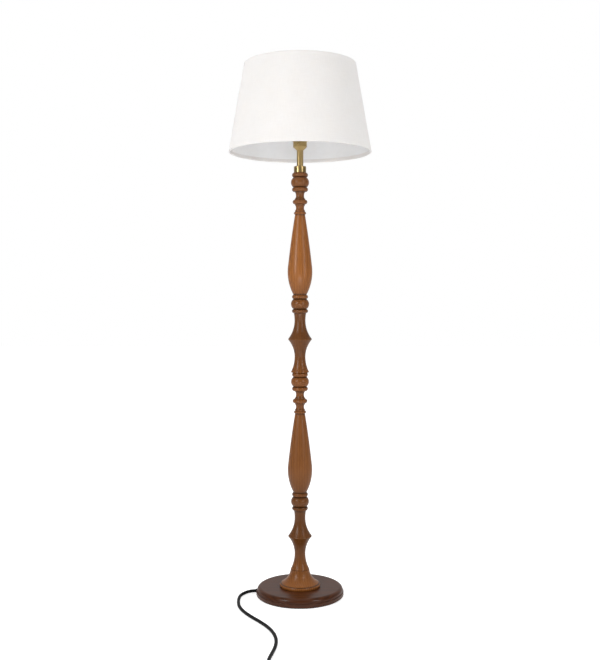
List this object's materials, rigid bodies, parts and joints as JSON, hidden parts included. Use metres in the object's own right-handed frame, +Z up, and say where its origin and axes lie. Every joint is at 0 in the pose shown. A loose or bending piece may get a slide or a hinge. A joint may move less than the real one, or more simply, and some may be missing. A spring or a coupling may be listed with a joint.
{
  "type": "candlestick floor lamp",
  "caption": "Tall turned wooden floor lamp with a round moulded foot, brass neck, off-white tapered drum shade and black mains cord with a foot switch and plug.",
  "frame": {"origin": "on the floor under the middle of the foot", "axes": "+Z up along the stem, -Y the front seen in the picture, +X the lamp's right in the picture"},
  "size_m": [0.449, 1.0115, 1.7069],
  "materials": {
    "wood_foot": "satin",
    "wood_stem": "satin",
    "felt": "matte",
    "steel": "satin",
    "brass": "polished",
    "ceramic": "matte",
    "glass": "gloss",
    "bulb_plastic": "gloss",
    "fabric": "matte",
    "liner": "matte",
    "black_rubber": "satin",
    "black_plastic": "satin",
    "live_plastic": "gloss",
    "neutral_plastic": "gloss",
    "earth_plastic": "gloss"
  },
  "bodies": {
    "stand": {"felt_pad": "felt", "foot_disc": "wood_foot", "foot_weight": "steel", "weight_screws": "steel", "foot_washer": "steel", "foot_nut": "brass", "foot_skirt": "wood_stem", "lower_stem": "wood_stem", "upper_stem": "wood_stem", "lower_pipe": "steel", "upper_pipe": "steel", "pipe_coupler": "steel", "stem_nut": "brass", "brass_ferrule": "brass", "brass_tube": "brass", "lampholder_cup": "brass", "lampholder_nut": "brass", "lampholder_shell": "brass", "lampholder_core": "ceramic", "centre_contact": "brass", "screw_shell": "brass", "shade_carrier": "brass", "cord_strain_relief": "black_rubber", "cord_tail": "black_rubber", "cord_clamp": "black_plastic", "cord_clamp_screws": "steel", "terminal_block": "ceramic", "terminal_screws": "brass", "live_wire": "live_plastic", "neutral_wire": "neutral_plastic", "earth_wire": "earth_plastic", "cord_lead": "black_rubber", "cord_link": "black_rubber", "cord_coil": "black_rubber", "cord_tie": "black_rubber", "switch_base": "black_plastic", "switch_cover": "black_plastic", "switch_screws": "steel", "switch_contacts": "ceramic", "switch_spring": "steel", "switch_reliefs": "black_rubber", "plug_relief": "black_rubber", "plug_body": "black_plastic", "plug_pins": "brass", "fuse_door": "black_plastic", "fuse": "ceramic"},
    "shade": {"shade_spider": "steel", "shade_fabric": "fabric", "shade_liner": "liner", "bottom_ring": "steel", "hem_bottom": "fabric", "hem_top": "fabric"},
    "finial": {"finial": "brass"},
    "ring_nut": {"ring_nut": "brass"},
    "bulb": {"bulb_contact": "steel", "bulb_cap_insulator": "glass", "bulb_cap": "steel", "bulb_neck": "bulb_plastic", "bulb_globe": "glass"},
    "switch_button": {"switch_button": "black_plastic"}
  },
  "joints": [
    {"name": "shade_turn", "type": "hinge", "parent": "stand", "child": "shade", "pos_m": [0, 0, 1.67], "axis": [0, 0, 1], "continuous": true},
    {"name": "finial_turn", "type": "hinge", "parent": "stand", "child": "finial", "pos_m": [0, 0, 1.68], "axis": [0, 0, 1], "range_deg": [0, 1440]},
    {"name": "ring_nut_turn", "type": "hinge", "parent": "stand", "child": "ring_nut", "pos_m": [0, 0, 1.45], "axis": [0, 0, 1], "range_deg": [0, 1440]},
    {"name": "bulb_turn", "type": "hinge", "parent": "stand", "child": "bulb", "pos_m": [0, 0, 1.465], "axis": [0, 0, 1], "range_deg": [0, 1440]},
    {"name": "switch_button_press", "type": "slide", "parent": "stand", "child": "switch_button", "axis": [0, 0, -1], "range_m": [0, 0.003], "stiffness_N_per_m": 900, "springref_m": -0.001, "deforming": ["switch_spring"]}
  ]
}
